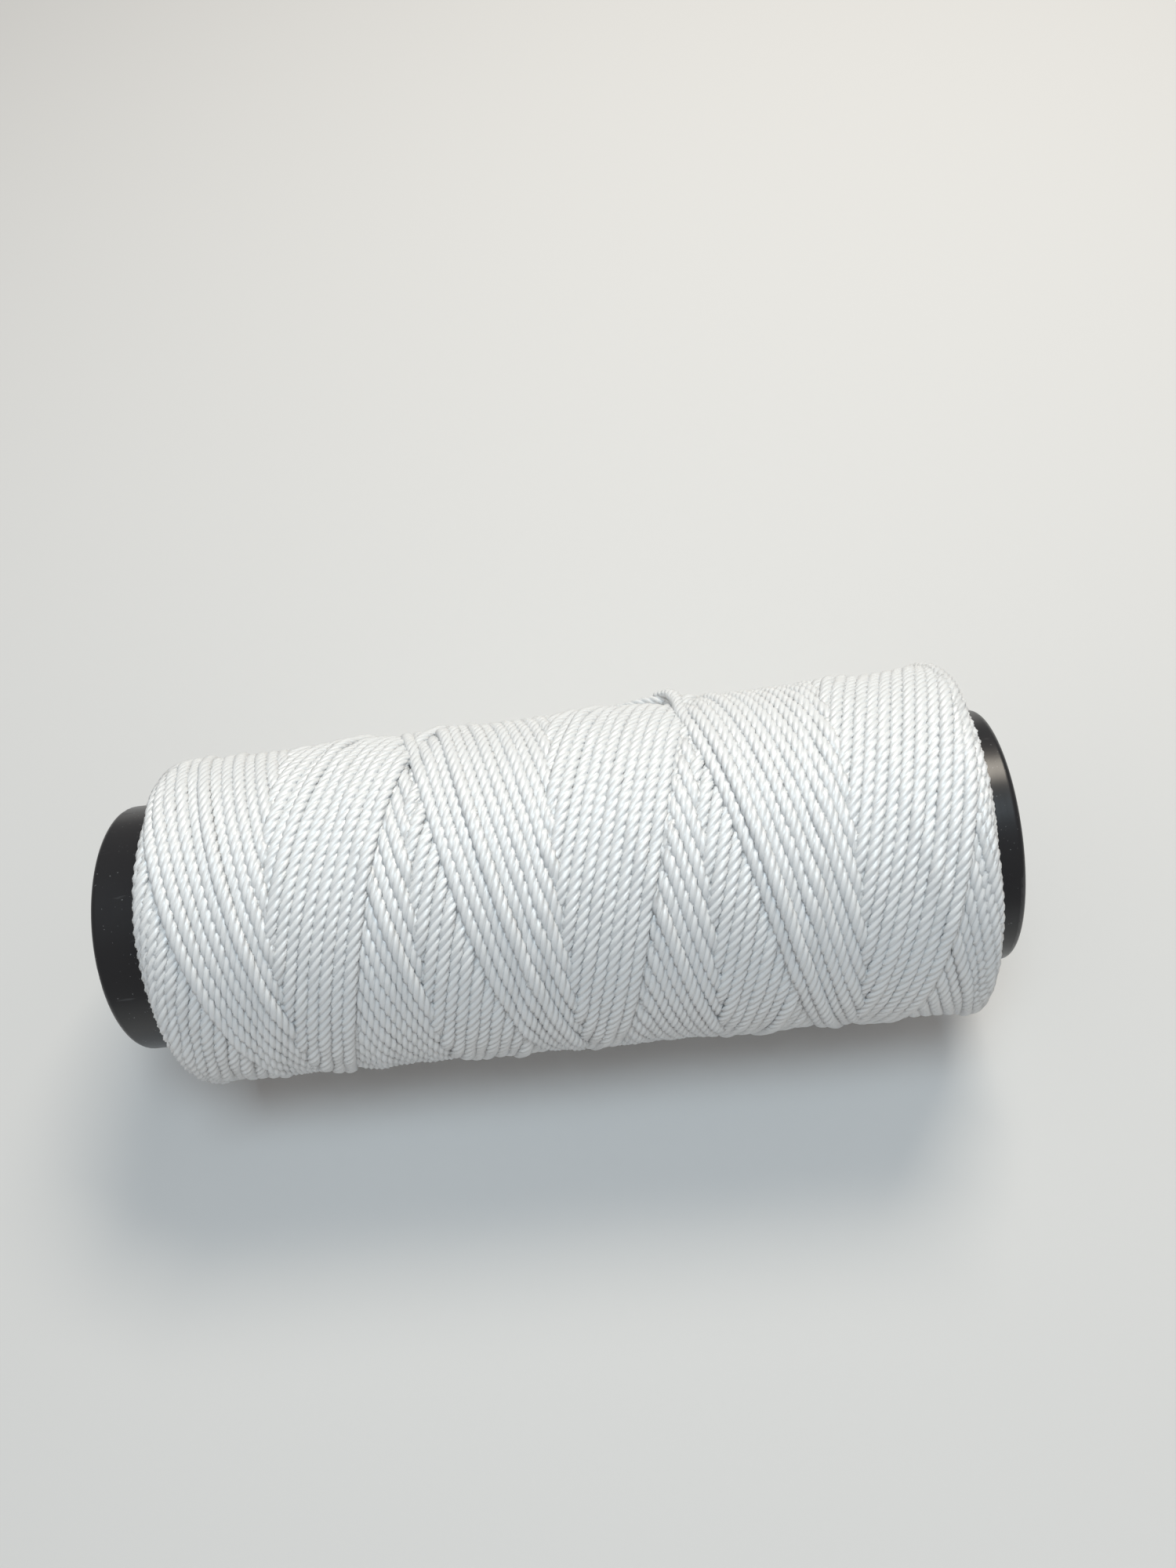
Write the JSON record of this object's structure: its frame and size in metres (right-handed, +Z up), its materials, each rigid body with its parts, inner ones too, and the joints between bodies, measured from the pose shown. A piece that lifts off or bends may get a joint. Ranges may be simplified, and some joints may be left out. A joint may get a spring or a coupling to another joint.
{
  "type": "reel of twisted twine",
  "caption": "Plain tube with a cross-wound package of twisted twine, slightly fatter at one end, its free end laid along the winding.",
  "frame": {"origin": "middle of the tube's bore, half way along it", "axes": "+X along the tube towards the end where the winding is fatter and less tube shows; +Z up, with the reel lying on its side"},
  "size_m": [0.145, 0.0599, 0.0586],
  "materials": {
    "core_plastic": "semi-gloss black moulded plastic with fine handling scratches",
    "twine": "lustrous white multifilament nylon, twisted in a right-hand (Z) lay"
  },
  "bodies": {
    "root": {"core_tube": "core_plastic", "twine_winding": "twine", "twine_free_end": "twine"}
  },
  "joints": []
}
